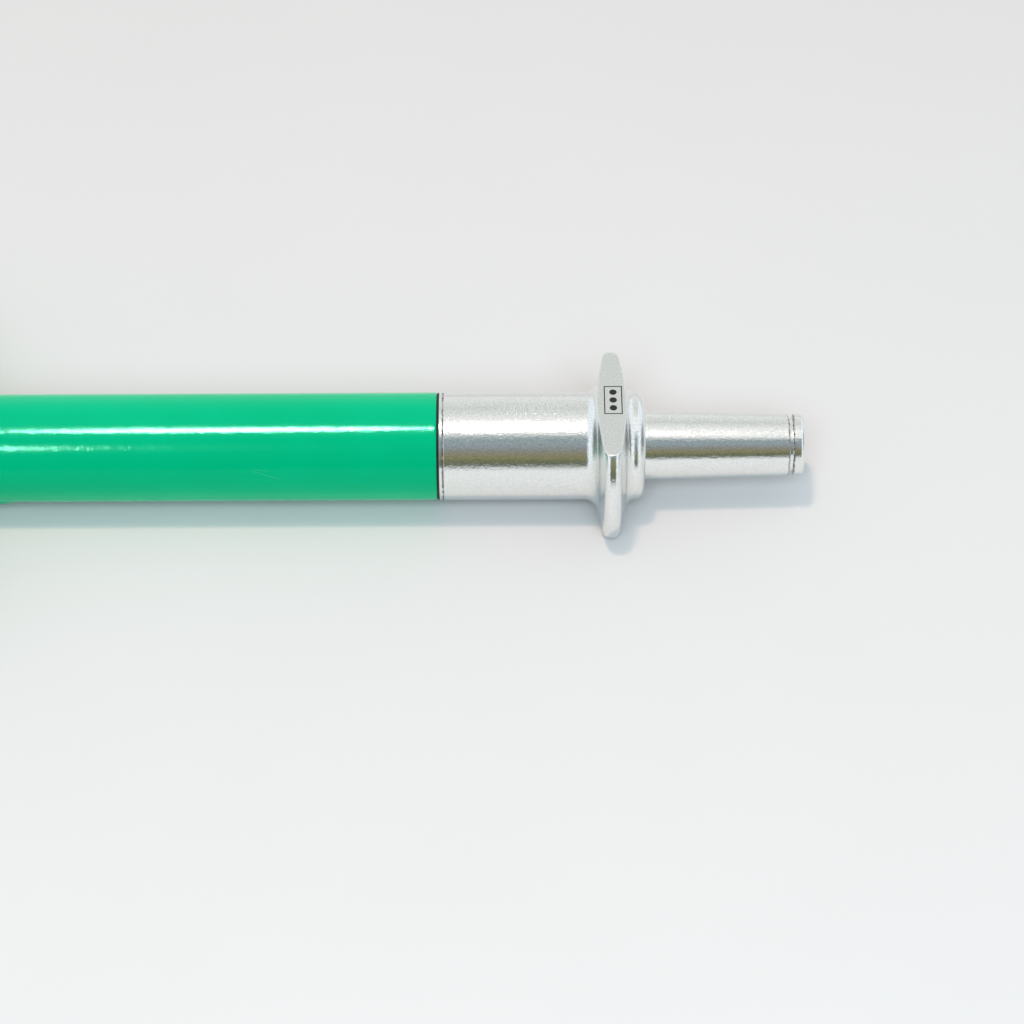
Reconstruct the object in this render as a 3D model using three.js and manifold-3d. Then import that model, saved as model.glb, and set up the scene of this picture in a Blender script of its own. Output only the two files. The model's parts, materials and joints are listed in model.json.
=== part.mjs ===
// Slide-hammer post driver for tubular posts, in millimetres, +Z up.
//
// The tool lies on its side. Its axis runs along X, with the tapered spigot towards +X, and it
// rests on the lower flat of its flange and on its round end cap. The spigot goes into the bore
// of a post, the shoulder behind it seats on the post's rim, and the green tube is the hammer:
// it slides on a keyed rod, and the steel slug in its far end strikes the end of that rod.
//
// Stations along the axis are counted from the middle plane of the flange, positive towards the
// spigot. A corner of a turned profile is [station, radius, fillet], and a profile runs with its
// stations growing along the outside, so that its faces point out.

import * as THREE from "three";
import { mergeVertices } from "three/addons/utils/BufferGeometryUtils.js";
import Module from "manifold-3d";

const wasm = await Module();
wasm.setup();

// ---------------------------------------------------------------- driving dimensions

const TUBE_RADIUS = 33.7 / 2;
const TUBE_BORE = 27.3 / 2;
const TUBE_MOUTH = -54.2;
const TUBE_END = -634.2;

const CLEARANCE = 0.3;
const SLIDE_FIT = 0.15;
const SEAM = 0.15;
const FACE_GAP = 0.05;
const EDGE_BREAK = 0.5;
const OVERCUT = 1;

const SLEEVE_END = -52.3;
const FLANGE_RADIUS = 29.2;
const FLAT_HALF = 19;
const REAR_CONE_FOOT = -4.85;
const REAR_CONE_TOP = -2.25;
const FRONT_CONE_FOOT = 4.96;
const FRONT_CONE_TOP = 2.21;
const REAR_FORGING_FILLET = 4.5;
const FRONT_FORGING_FILLET = 3;
const RIM_FILLET = 1.8;
const SHOULDER_FACE = 10.4;
const SHOULDER_FILLET = 3.2;
const WEB_REAR = -14;
const WEB_FRONT = -4;

const SPIGOT_SEAT = 9.9;
const SPIGOT_ROOT_RADIUS = 10.7;
const SPIGOT_TAPER = 1 / 40;
const SPIGOT_END = 60;
const GROOVE_START = 55.3;
const GROOVE_WIDTH = 1.6;
const GROOVE_DEPTH = 1.2;
const SHANK_RADIUS = 7;

const WASHER_THICKNESS = 1.05;
const BUFFER_THICKNESS = 0.6;
const BUFFER_RADIUS = 16.6;

const ROD_RADIUS = 10;
const ROD_FLAT_HALF = 9;
const ROD_FLATS_START = -55;
const SET_SCREW_RADIUS = 4;
const SET_SCREW_STATION = -33;
const SET_SCREW_SINK = 0.6;
const SOCKET_RADIUS = 2.2;
const SOCKET_DEPTH = 3;

const STROKE = 300;
const BUSH_FRONT = -56;
const BUSH_LENGTH = 30;
const CIRCLIP_THICKNESS = 1.3;
const CIRCLIP_GROOVE_DEPTH = 0.55;
const CIRCLIP_OPENING = Math.PI / 3;
const BUMPER_LENGTH = 6;
const STOP_CLEARANCE = 0.6;
const COLLAR_LENGTH = 30;
const COLLAR_RADIUS = 13.3;
const COLLAR_PIN_RADIUS = 2.5;
const COLLAR_PIN_WALL = 0.9;
const COLLAR_PIN_SLOT = 0.8;
const COLLAR_PIN_INSET = 6;
const WEAR_RING_WIDTH = 7;
const WEAR_RING_DEPTH = 1;
const WEAR_RING_SPLIT = 2;

const SLUG_END = -624;
const STRIKE_GAP = 0.5;
const SLUG_RADIUS = 13.45;
const SLUG_PIN_RADIUS = 3;
const SLUG_PIN_INSET = 34;
const CAP_RADIUS = FLAT_HALF;
const CAP_THICKNESS = 11.8;
const CAP_FILLET = 2.5;
const BOLT_RADIUS = 4;
const BOLT_ACROSS_FLATS = 13;
const BOLT_HEAD = 5.3;
const BOLT_REACH = 24;
const CAP_WASHER_THICKNESS = 1.6;
const CAP_WASHER_RADIUS = 8.5;

const BAR_RADIUS = 7;
const BAR_FIRST_LEG = -210;
const BAR_SECOND_LEG = -510;
const BAR_STANDOFF = 70;
const BAR_BEND = 25;
const GRIP_LENGTH = 130;
const GRIP_RADIUS = 11;
const GRIP_COLLAR_RADIUS = 13;
const GRIP_COLLAR_LENGTH = 6;
const GRIP_RIB = 1;
const GRIP_RIBS = 5;

const LOCK_STATION = -228;
const THREAD_PITCH = 1.75;
const LOCK_TURNS = 2.6;
const LOCK_TRAVEL = THREAD_PITCH * LOCK_TURNS;
const BOSS_RADIUS = 12;
const BOSS_TOP = 30;
const PAD_RADIUS = 5.6;
const PAD_LENGTH = 8;
const STUD_RADIUS = 5.9;
const STUD_NECK_RADIUS = 4;
const KNOB_RADIUS = 16;
const KNOB_LOBES = 5;
const KNOB_LOBE_DEPTH = 2.4;
const KNOB_HEIGHT = 14;
const KNOB_SOCKET_DEPTH = 9;
const KNOB_BEVEL = 2;

// The middle of the tool's length, which stands over the origin.
const CAP_FACE = TUBE_END - CLEARANCE - CAP_THICKNESS;
const BOLT_FACE = CAP_FACE - FACE_GAP - CAP_WASHER_THICKNESS - FACE_GAP - BOLT_HEAD;
const MIDDLE = (SPIGOT_END + BOLT_FACE) / 2;

const ROUND = 40;
const MEDIUM = 24;
const SMALL = 16;

// ---------------------------------------------------------------- solids

// Shares the corners of a geometry and drops faces with no area, so that it is one closed mesh.
function welded(geometry) {
  const bare = geometry.clone();
  bare.deleteAttribute("normal");
  bare.deleteAttribute("uv");
  const merged = mergeVertices(bare, 1e-4);
  const corners = Array.from(merged.index.array);
  const kept = [];
  for (let i = 0; i < corners.length; i += 3) {
    const face = corners.slice(i, i + 3);
    if (new Set(face).size === 3) {
      kept.push(...face);
    }
  }
  merged.setIndex(kept);
  return merged;
}

function solid(geometry) {
  const closed = welded(geometry);
  const mesh = new wasm.Mesh({
    numProp: 3,
    vertProperties: Float32Array.from(closed.attributes.position.array),
    triVerts: Uint32Array.from(closed.index.array),
  });
  return new wasm.Manifold(mesh);
}

function geometryOf(manifold) {
  const mesh = manifold.getMesh();
  const geometry = new THREE.BufferGeometry();
  geometry.setAttribute("position", new THREE.BufferAttribute(mesh.vertProperties, 3));
  geometry.setIndex(new THREE.BufferAttribute(mesh.triVerts, 1));
  return geometry;
}

// Turns corners [station, radius, fillet] into points, with an arc at each fillet. A broken edge
// is one chamfer, and a large fillet has four steps.
function outline(corners) {
  const points = [];
  corners.forEach(([station, radius, fillet = 0], i) => {
    const corner = new THREE.Vector2(station, radius);
    if (fillet === 0) {
      points.push(corner);
      return;
    }
    const back = new THREE.Vector2(...corners[i - 1].slice(0, 2)).sub(corner).normalize();
    const ahead = new THREE.Vector2(...corners[i + 1].slice(0, 2)).sub(corner).normalize();
    const half = Math.acos(back.dot(ahead)) / 2;
    const middle = back.clone().add(ahead).normalize();
    const centre = corner.clone().addScaledVector(middle, fillet / Math.sin(half));
    const reach = fillet / Math.tan(half);
    const start = corner.clone().addScaledVector(back, reach).sub(centre);
    const end = corner.clone().addScaledVector(ahead, reach).sub(centre);
    const sweep = Math.sign(start.cross(end)) * (Math.PI - 2 * half);
    const steps = Math.min(4, Math.ceil(fillet / EDGE_BREAK));
    for (let step = 0; step <= steps; step++) {
      const spoke = start.clone().rotateAround(new THREE.Vector2(), sweep * step / steps);
      points.push(spoke.add(centre));
    }
  });
  return points;
}

// A solid of revolution about X.
function turned(corners, segments = ROUND) {
  const points = outline(corners).map((point) => new THREE.Vector2(point.y, point.x));
  return new THREE.LatheGeometry(points, segments).rotateZ(-Math.PI / 2);
}

function cylinder(from, to, radius, segments = ROUND) {
  return turned([[from, 0], [from, radius], [to, radius], [to, 0]], segments);
}

// A washer or tube about X, with its outer edges rounded by chamfer.
function ring(from, to, bore, radius, chamfer = 0, segments = ROUND) {
  return turned([
    [from, bore],
    [from, radius, chamfer],
    [to, radius, chamfer],
    [to, bore],
    [from, bore],
  ], segments);
}

// Turns a solid that was made along X so that it lies along Z, or along Y.
function upright(geometry) {
  return geometry.rotateY(-Math.PI / 2);
}

function crosswise(geometry) {
  return geometry.rotateZ(Math.PI / 2);
}

function box(fromX, toX, halfY, fromZ, toZ) {
  const geometry = new THREE.BoxGeometry(toX - fromX, 2 * halfY, toZ - fromZ);
  return geometry.translate((fromX + toX) / 2, 0, (fromZ + toZ) / 2);
}

// A round bar or bore about X with two flats that face up and down.
function keyed(from, to, radius, flatHalf) {
  const slab = solid(box(from - OVERCUT, to + OVERCUT, radius + OVERCUT, -flatHalf, flatHalf));
  return solid(cylinder(from, to, radius)).intersect(slab);
}

// ---------------------------------------------------------------- head and spigot

function driveHead() {
  const body = solid(turned([
    [WEB_REAR, 0],
    [WEB_REAR, ROD_RADIUS + CLEARANCE],
    [SLEEVE_END, ROD_RADIUS + CLEARANCE],
    [SLEEVE_END, TUBE_RADIUS, EDGE_BREAK],
    [REAR_CONE_FOOT, TUBE_RADIUS, REAR_FORGING_FILLET],
    [REAR_CONE_TOP, FLANGE_RADIUS, RIM_FILLET],
    [FRONT_CONE_TOP, FLANGE_RADIUS, RIM_FILLET],
    [FRONT_CONE_FOOT, TUBE_RADIUS, FRONT_FORGING_FILLET],
    [SHOULDER_FACE, TUBE_RADIUS, SHOULDER_FILLET],
    [SHOULDER_FACE, SPIGOT_ROOT_RADIUS + SLIDE_FIT],
    [SPIGOT_SEAT, SPIGOT_ROOT_RADIUS + SLIDE_FIT],
    [SPIGOT_SEAT, SHANK_RADIUS + CLEARANCE],
    [WEB_FRONT, SHANK_RADIUS + CLEARANCE],
    [WEB_FRONT, 0],
  ]));
  const slab = solid(box(
    SLEEVE_END - OVERCUT,
    SHOULDER_FACE + OVERCUT,
    FLANGE_RADIUS + OVERCUT,
    -FLAT_HALF,
    FLAT_HALF,
  ));
  const screwHole = upright(cylinder(-TUBE_RADIUS - OVERCUT, 0, SET_SCREW_RADIUS + CLEARANCE, MEDIUM));
  screwHole.translate(SET_SCREW_STATION, 0, 0);
  return geometryOf(body.intersect(slab).subtract(solid(screwHole)));
}

function taperSpigot() {
  const radiusAt = (station) => SPIGOT_ROOT_RADIUS - SPIGOT_TAPER * (station - SHOULDER_FACE);
  const grooveEnd = GROOVE_START + GROOVE_WIDTH;
  const grooveFloor = radiusAt(GROOVE_START) - GROOVE_DEPTH;
  return turned([
    [WEB_FRONT + CLEARANCE, 0],
    [WEB_FRONT + CLEARANCE, SHANK_RADIUS, 1],
    [SPIGOT_SEAT + FACE_GAP, SHANK_RADIUS],
    [SPIGOT_SEAT + FACE_GAP, SPIGOT_ROOT_RADIUS],
    [SHOULDER_FACE, SPIGOT_ROOT_RADIUS],
    [GROOVE_START, radiusAt(GROOVE_START)],
    [GROOVE_START, grooveFloor, EDGE_BREAK],
    [grooveEnd, grooveFloor, EDGE_BREAK],
    [grooveEnd, radiusAt(grooveEnd)],
    [SPIGOT_END, radiusAt(SPIGOT_END), 1],
    [SPIGOT_END, 0],
  ]);
}

function anvilWasher() {
  const front = SLEEVE_END - SEAM;
  return ring(front - WASHER_THICKNESS, front, ROD_RADIUS + CLEARANCE, TUBE_RADIUS);
}

function bufferRing() {
  const rear = TUBE_MOUTH + FACE_GAP;
  return ring(rear, rear + BUFFER_THICKNESS, ROD_RADIUS + CLEARANCE, BUFFER_RADIUS);
}

// ---------------------------------------------------------------- rod and its stop

const BUSH_REAR = BUSH_FRONT - BUSH_LENGTH;
const BUMPER_FRONT = BUSH_REAR - CLEARANCE - CIRCLIP_THICKNESS - CLEARANCE;
const BUMPER_REAR = BUMPER_FRONT - BUMPER_LENGTH;
const COLLAR_FRONT = BUMPER_REAR - STROKE - STOP_CLEARANCE;
const ROD_END = COLLAR_FRONT - COLLAR_LENGTH;
const COLLAR_PIN_STATION = COLLAR_FRONT - COLLAR_PIN_INSET;
const WEAR_RING_MIDDLE = (COLLAR_PIN_STATION + ROD_END) / 2;

function collarPinHole() {
  const hole = crosswise(cylinder(-TUBE_BORE, TUBE_BORE, COLLAR_PIN_RADIUS + CLEARANCE, SMALL));
  return solid(hole.translate(COLLAR_PIN_STATION, 0, 0));
}

function driveRod() {
  const front = WEB_REAR - OVERCUT;
  const keyedPart = keyed(ROD_END, ROD_FLATS_START, ROD_RADIUS, ROD_FLAT_HALF);
  const roundPart = solid(turned([
    [ROD_FLATS_START - EDGE_BREAK, 0],
    [ROD_FLATS_START - EDGE_BREAK, ROD_FLAT_HALF],
    [ROD_FLATS_START, ROD_RADIUS],
    [front, ROD_RADIUS, 1],
    [front, 0],
  ]));
  return geometryOf(keyedPart.add(roundPart).subtract(collarPinHole()));
}

function rodSetScrew() {
  const tip = ROD_RADIUS + CLEARANCE;
  const face = TUBE_RADIUS - SET_SCREW_SINK;
  const body = solid(cylinder(tip, face, SET_SCREW_RADIUS, MEDIUM));
  const socket = solid(cylinder(face - SOCKET_DEPTH, face + OVERCUT, SOCKET_RADIUS, 6));
  return geometryOf(body.subtract(socket));
}

function rodStopCollar() {
  const body = solid(turned([
    [ROD_END, 0],
    [ROD_END, COLLAR_RADIUS, EDGE_BREAK],
    [WEAR_RING_MIDDLE - WEAR_RING_WIDTH / 2, COLLAR_RADIUS],
    [WEAR_RING_MIDDLE - WEAR_RING_WIDTH / 2, COLLAR_RADIUS - WEAR_RING_DEPTH],
    [WEAR_RING_MIDDLE + WEAR_RING_WIDTH / 2, COLLAR_RADIUS - WEAR_RING_DEPTH],
    [WEAR_RING_MIDDLE + WEAR_RING_WIDTH / 2, COLLAR_RADIUS],
    [COLLAR_FRONT, COLLAR_RADIUS, EDGE_BREAK],
    [COLLAR_FRONT, 0],
  ]));
  const bore = keyed(
    ROD_END - OVERCUT,
    COLLAR_FRONT + OVERCUT,
    ROD_RADIUS + CLEARANCE,
    ROD_FLAT_HALF + CLEARANCE,
  );
  return geometryOf(body.subtract(bore).subtract(collarPinHole()));
}

// A rolled spring pin: a short tube with a slot along one side.
function stopCollarPin() {
  const half = COLLAR_RADIUS - EDGE_BREAK;
  const bore = COLLAR_PIN_RADIUS - COLLAR_PIN_WALL;
  const sleeve = solid(ring(-half, half, bore, COLLAR_PIN_RADIUS, 0, SMALL));
  const reach = half + OVERCUT;
  const slot = solid(box(-reach, reach, COLLAR_PIN_SLOT / 2, 0, COLLAR_PIN_RADIUS + OVERCUT));
  return crosswise(geometryOf(sleeve.subtract(slot)));
}

function collarWearRing() {
  const half = WEAR_RING_WIDTH / 2 - SLIDE_FIT;
  const floor = COLLAR_RADIUS - WEAR_RING_DEPTH + SLIDE_FIT;
  const band = solid(ring(-half, half, floor, TUBE_BORE - SLIDE_FIT));
  const split = solid(box(-half - OVERCUT, half + OVERCUT, WEAR_RING_SPLIT / 2, 0, TUBE_BORE));
  return geometryOf(band.subtract(split));
}

// ---------------------------------------------------------------- hammer

const SLUG_STRIKER = ROD_END - STRIKE_GAP;
const SLUG_PINS = {
  slug_pin_lower: SLUG_STRIKER - SLUG_PIN_INSET,
  slug_pin_upper: SLUG_END + SLUG_PIN_INSET,
};

function slugPinHoles() {
  const holes = Object.values(SLUG_PINS).map((station) => {
    const reach = TUBE_RADIUS + OVERCUT;
    const hole = upright(cylinder(-reach, reach, SLUG_PIN_RADIUS + CLEARANCE, MEDIUM));
    return solid(hole.translate(station, 0, 0));
  });
  return holes[0].add(holes[1]);
}

function hammerTube() {
  const body = solid(turned([
    [TUBE_END, TUBE_BORE],
    [TUBE_END, TUBE_RADIUS, EDGE_BREAK],
    [TUBE_MOUTH, TUBE_RADIUS, EDGE_BREAK],
    [TUBE_MOUTH, TUBE_BORE],
    [BUSH_REAR, TUBE_BORE],
    [BUSH_REAR, TUBE_BORE + CIRCLIP_GROOVE_DEPTH],
    [BUMPER_FRONT, TUBE_BORE + CIRCLIP_GROOVE_DEPTH],
    [BUMPER_FRONT, TUBE_BORE],
    [TUBE_END, TUBE_BORE],
  ]));
  const padHole = upright(cylinder(0, TUBE_RADIUS + OVERCUT, PAD_RADIUS + CLEARANCE, MEDIUM));
  padHole.translate(LOCK_STATION, 0, 0);
  return geometryOf(body.subtract(slugPinHoles()).subtract(solid(padHole)));
}

function guideBush() {
  const body = solid(turned([
    [BUSH_REAR + FACE_GAP, 0],
    [BUSH_REAR + FACE_GAP, TUBE_BORE - SLIDE_FIT, EDGE_BREAK],
    [BUSH_FRONT, TUBE_BORE - SLIDE_FIT, EDGE_BREAK],
    [BUSH_FRONT, 0],
  ]));
  const bore = keyed(
    BUSH_REAR - OVERCUT,
    BUSH_FRONT + OVERCUT,
    ROD_RADIUS + SLIDE_FIT,
    ROD_FLAT_HALF + SLIDE_FIT,
  );
  return geometryOf(body.subtract(bore));
}

// A flat spring ring, open at the bottom.
function bushRetainingRing() {
  const outer = TUBE_BORE + CIRCLIP_GROOVE_DEPTH - SLIDE_FIT;
  const inner = ROD_RADIUS + 1.6;
  const start = CIRCLIP_OPENING / 2;
  const end = 2 * Math.PI - CIRCLIP_OPENING / 2;
  const shape = new THREE.Shape();
  shape.absarc(0, 0, outer, start, end, false);
  shape.absarc(0, 0, inner, end, start, true);
  return new THREE.ExtrudeGeometry(shape, {
    depth: CIRCLIP_THICKNESS,
    bevelEnabled: false,
    curveSegments: SMALL,
  }).rotateY(Math.PI / 2);
}

function strokeBumper() {
  return ring(BUMPER_REAR, BUMPER_FRONT, ROD_RADIUS + 2 * CLEARANCE, TUBE_BORE - SLIDE_FIT, EDGE_BREAK);
}

function ballastSlug() {
  const body = solid(turned([
    [SLUG_END, 0],
    [SLUG_END, SLUG_RADIUS, EDGE_BREAK],
    [SLUG_STRIKER, SLUG_RADIUS, 2],
    [SLUG_STRIKER, 0],
  ]));
  const hole = cylinder(SLUG_END - OVERCUT, SLUG_END + BOLT_REACH, BOLT_RADIUS + CLEARANCE, MEDIUM);
  return geometryOf(body.subtract(solid(hole)).subtract(slugPinHoles()));
}

function slugPin() {
  const half = TUBE_RADIUS - CLEARANCE;
  return upright(turned([
    [-half, 0],
    [-half, SLUG_PIN_RADIUS, EDGE_BREAK],
    [half, SLUG_PIN_RADIUS, EDGE_BREAK],
    [half, 0],
  ], MEDIUM));
}

function endCap() {
  const seat = TUBE_END - CLEARANCE;
  const plugEnd = SLUG_END - CLEARANCE;
  return turned([
    [CAP_FACE, BOLT_RADIUS + CLEARANCE],
    [CAP_FACE, CAP_RADIUS, CAP_FILLET],
    [seat, CAP_RADIUS, EDGE_BREAK],
    [seat, TUBE_BORE - SLIDE_FIT],
    [plugEnd, TUBE_BORE - SLIDE_FIT, EDGE_BREAK],
    [plugEnd, BOLT_RADIUS + CLEARANCE],
    [CAP_FACE, BOLT_RADIUS + CLEARANCE],
  ]);
}

function capWasher() {
  const front = CAP_FACE - FACE_GAP;
  const rear = front - CAP_WASHER_THICKNESS;
  return ring(rear, front, BOLT_RADIUS + CLEARANCE, CAP_WASHER_RADIUS, 0, MEDIUM);
}

function capBolt() {
  const seat = BOLT_FACE + BOLT_HEAD;
  const acrossCorners = BOLT_ACROSS_FLATS / Math.cos(Math.PI / 6);
  const hexagon = solid(cylinder(BOLT_FACE, seat, acrossCorners / 2, 6));
  const rounding = solid(turned([
    [BOLT_FACE, 0],
    [BOLT_FACE, BOLT_ACROSS_FLATS / 2 - 0.2],
    [BOLT_FACE + 1, acrossCorners / 2],
    [seat, acrossCorners / 2],
    [seat, 0],
  ], MEDIUM));
  const shank = solid(cylinder(seat - OVERCUT, SLUG_END + BOLT_REACH - OVERCUT, BOLT_RADIUS, MEDIUM));
  return geometryOf(hexagon.intersect(rounding).add(shank));
}

// ---------------------------------------------------------------- handles

const BAR_MIDDLE = (BAR_FIRST_LEG + BAR_SECOND_LEG) / 2;

// A quarter-circle bend from one straight run to the next.
function bend(from, corner, to) {
  const arcHandle = 0.5523;
  const leaving = from.clone().lerp(corner, arcHandle);
  const arriving = to.clone().lerp(corner, arcHandle);
  return new THREE.CubicBezierCurve3(from, leaving, arriving, to);
}

// The bar leaves the tube square on, runs along it at hand's distance and comes back.
function handleBar() {
  const at = (station, out) => new THREE.Vector3(station, -out, 0);
  const foot = TUBE_RADIUS - BAR_RADIUS + OVERCUT;
  const first = [
    at(BAR_FIRST_LEG, BAR_STANDOFF - BAR_BEND),
    at(BAR_FIRST_LEG, BAR_STANDOFF),
    at(BAR_FIRST_LEG - BAR_BEND, BAR_STANDOFF),
  ];
  const second = [
    at(BAR_SECOND_LEG + BAR_BEND, BAR_STANDOFF),
    at(BAR_SECOND_LEG, BAR_STANDOFF),
    at(BAR_SECOND_LEG, BAR_STANDOFF - BAR_BEND),
  ];
  const path = new THREE.CurvePath();
  path.add(new THREE.LineCurve3(at(BAR_FIRST_LEG, foot), first[0]));
  path.add(bend(...first));
  path.add(new THREE.LineCurve3(first[2], second[0]));
  path.add(bend(...second));
  path.add(new THREE.LineCurve3(second[2], at(BAR_SECOND_LEG, foot)));
  const section = new THREE.Shape();
  section.absarc(0, 0, BAR_RADIUS, 0, 2 * Math.PI, false);
  const bar = new THREE.ExtrudeGeometry(section, { steps: 44, extrudePath: path, curveSegments: 6 });
  const reach = 2 * BAR_RADIUS;
  const saddle = cylinder(BAR_SECOND_LEG - reach, BAR_FIRST_LEG + reach, TUBE_RADIUS + CLEARANCE);
  return geometryOf(solid(bar).subtract(solid(saddle)));
}

function handleGrip() {
  const half = GRIP_LENGTH / 2;
  const bore = BAR_RADIUS + CLEARANCE;
  const inner = half - GRIP_COLLAR_LENGTH;
  const rib = 2 * inner / (2 * GRIP_RIBS + 1);
  const corners = [
    [-half, bore],
    [-half, GRIP_COLLAR_RADIUS, 3 * EDGE_BREAK],
    [-inner, GRIP_COLLAR_RADIUS],
  ];
  for (let i = 0; i < GRIP_RIBS; i++) {
    const start = -inner + rib * (2 * i + 1);
    corners.push([start - rib, GRIP_RADIUS], [start, GRIP_RADIUS]);
    corners.push([start, GRIP_RADIUS + GRIP_RIB], [start + rib, GRIP_RADIUS + GRIP_RIB]);
  }
  corners.push([inner - rib, GRIP_RADIUS], [inner, GRIP_RADIUS]);
  corners.push([inner, GRIP_COLLAR_RADIUS], [half, GRIP_COLLAR_RADIUS, 3 * EDGE_BREAK]);
  corners.push([half, bore], [-half, bore]);
  return turned(corners, SMALL);
}

// ---------------------------------------------------------------- carrying lock

// The lock stands on the tube's upper side. Heights are counted from the tool's axis.
const PAD_FOOT = TUBE_BORE + SLIDE_FIT;
const STUD_FOOT = PAD_FOOT + PAD_LENGTH + FACE_GAP;
const KNOB_FOOT = BOSS_TOP + LOCK_TRAVEL + 2 * CLEARANCE;
const STUD_TOP = KNOB_FOOT + KNOB_SOCKET_DEPTH;

function lockBoss() {
  const body = solid(upright(turned([
    [0, 0],
    [0, BOSS_RADIUS],
    [BOSS_TOP, BOSS_RADIUS, 1],
    [BOSS_TOP, 0],
  ], MEDIUM)));
  const bore = solid(upright(cylinder(-OVERCUT, BOSS_TOP + OVERCUT, STUD_RADIUS + CLEARANCE, MEDIUM)));
  const reach = BOSS_RADIUS + OVERCUT;
  const saddle = solid(cylinder(-reach, reach, TUBE_RADIUS + CLEARANCE));
  return geometryOf(body.subtract(bore).subtract(saddle));
}

function lockPad() {
  return upright(turned([
    [PAD_FOOT, 0],
    [PAD_FOOT, PAD_RADIUS, EDGE_BREAK],
    [PAD_FOOT + PAD_LENGTH, PAD_RADIUS, EDGE_BREAK],
    [PAD_FOOT + PAD_LENGTH, 0],
  ], MEDIUM));
}

function lockStud() {
  return upright(turned([
    [STUD_FOOT, 0],
    [STUD_FOOT, STUD_RADIUS, EDGE_BREAK],
    [KNOB_FOOT - FACE_GAP, STUD_RADIUS],
    [KNOB_FOOT - FACE_GAP, STUD_NECK_RADIUS],
    [STUD_TOP, STUD_NECK_RADIUS, EDGE_BREAK],
    [STUD_TOP, 0],
  ], MEDIUM));
}

function lockKnob() {
  const count = 50;
  const edge = [];
  for (let i = 0; i < count; i++) {
    const angle = 2 * Math.PI * i / count;
    const lobe = KNOB_LOBE_DEPTH * (1 - Math.cos(KNOB_LOBES * angle)) / 2;
    const radius = KNOB_RADIUS - KNOB_BEVEL - lobe;
    edge.push(new THREE.Vector2(radius * Math.cos(angle), radius * Math.sin(angle)));
  }
  const knob = new THREE.ExtrudeGeometry(new THREE.Shape(edge), {
    depth: KNOB_HEIGHT - 2 * KNOB_BEVEL,
    bevelThickness: KNOB_BEVEL,
    bevelSize: KNOB_BEVEL,
    bevelSegments: 1,
  }).translate(0, 0, KNOB_FOOT + KNOB_BEVEL);
  const neckHole = cylinder(
    KNOB_FOOT - OVERCUT,
    STUD_TOP + CLEARANCE,
    STUD_NECK_RADIUS + CLEARANCE,
    MEDIUM,
  );
  return geometryOf(solid(knob).subtract(solid(upright(neckHole))));
}

// ---------------------------------------------------------------- assembly

const FINISHES = {
  plated: { color: 0xc9cdcb, roughness: 0.22, metalness: 1 },
  green: { color: 0x02c286, roughness: 0.12, metalness: 0 },
  steel: { color: 0x9a9c9e, roughness: 0.35, metalness: 1 },
  bronze: { color: 0xb08a4a, roughness: 0.35, metalness: 1 },
  brass: { color: 0xc8a550, roughness: 0.3, metalness: 1 },
  rubber: { color: 0x1a1b1b, roughness: 0.7, metalness: 0 },
  urethane: { color: 0xb4742a, roughness: 0.5, metalness: 0 },
  plastic: { color: 0x151617, roughness: 0.4, metalness: 0 },
};

function piece(name, geometry, finish, station = 0) {
  const mesh = new THREE.Mesh(geometry, new THREE.MeshStandardMaterial(FINISHES[finish]));
  mesh.name = name;
  mesh.position.x = station;
  return mesh;
}

function driveShaft() {
  const setScrew = piece("rod_set_screw", rodSetScrew(), "steel", SET_SCREW_STATION);
  setScrew.rotation.y = Math.PI / 2;
  return [
    piece("drive_head", driveHead(), "plated"),
    piece("taper_spigot", taperSpigot(), "plated"),
    piece("anvil_washer", anvilWasher(), "plated"),
    piece("buffer_ring", bufferRing(), "rubber"),
    piece("drive_rod", driveRod(), "steel"),
    setScrew,
    piece("rod_stop_collar", rodStopCollar(), "steel"),
    piece("stop_collar_pin", stopCollarPin(), "steel", COLLAR_PIN_STATION),
    piece("collar_wear_ring", collarWearRing(), "bronze", WEAR_RING_MIDDLE),
  ];
}

function hammer() {
  const retainingRing = bushRetainingRing();
  const ringStation = BUSH_REAR - CLEARANCE - CIRCLIP_THICKNESS;
  const pins = Object.entries(SLUG_PINS);
  return [
    piece("hammer_tube", hammerTube(), "green"),
    piece("guide_bush", guideBush(), "bronze"),
    piece("bush_retaining_ring", retainingRing, "steel", ringStation),
    piece("stroke_bumper", strokeBumper(), "urethane"),
    piece("ballast_slug", ballastSlug(), "steel"),
    ...pins.map(([name, station]) => piece(name, slugPin(), "green", station)),
    piece("end_cap", endCap(), "plated"),
    piece("cap_washer", capWasher(), "plated"),
    piece("cap_bolt", capBolt(), "plated"),
    piece("lock_boss", lockBoss(), "green", LOCK_STATION),
  ];
}

// One handle: its bar and, round the middle of the bar, its grip. The rear one is turned half round.
function handle(side, turn) {
  const grip = piece(`grip_${side}`, handleGrip(), "rubber", BAR_MIDDLE);
  grip.position.y = -BAR_STANDOFF;
  const group = new THREE.Group();
  group.rotation.x = turn;
  group.add(piece(`handle_bar_${side}`, handleBar(), "green"), grip);
  return group;
}

function lock() {
  return [
    piece("lock_pad", lockPad(), "brass", LOCK_STATION),
    piece("lock_stud", lockStud(), "steel", LOCK_STATION),
    piece("lock_knob", lockKnob(), "plastic", LOCK_STATION),
  ];
}

const postDriver = new THREE.Group();
postDriver.position.set(-MIDDLE, 0, FLAT_HALF);
postDriver.add(...driveShaft(), ...hammer(), handle("front", 0), handle("rear", Math.PI), ...lock());

export default postDriver;
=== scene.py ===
# %% [markdown]
# # A slide-hammer post driver
#
# The tool is a steel assembly: a bright plated head with a tapered spigot, a keyed rod, and a
# green tube that slides on the rod as a hammer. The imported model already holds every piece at
# full size, so this lesson only gives those pieces the surface of the real ones. Lengths are in
# metres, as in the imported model, and the sizes of the turned profiles are written in millimetres,
# which is how a turner's drawing gives them.

import json
import math

import bmesh
import bpy
from mathutils import Matrix, Vector

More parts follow.
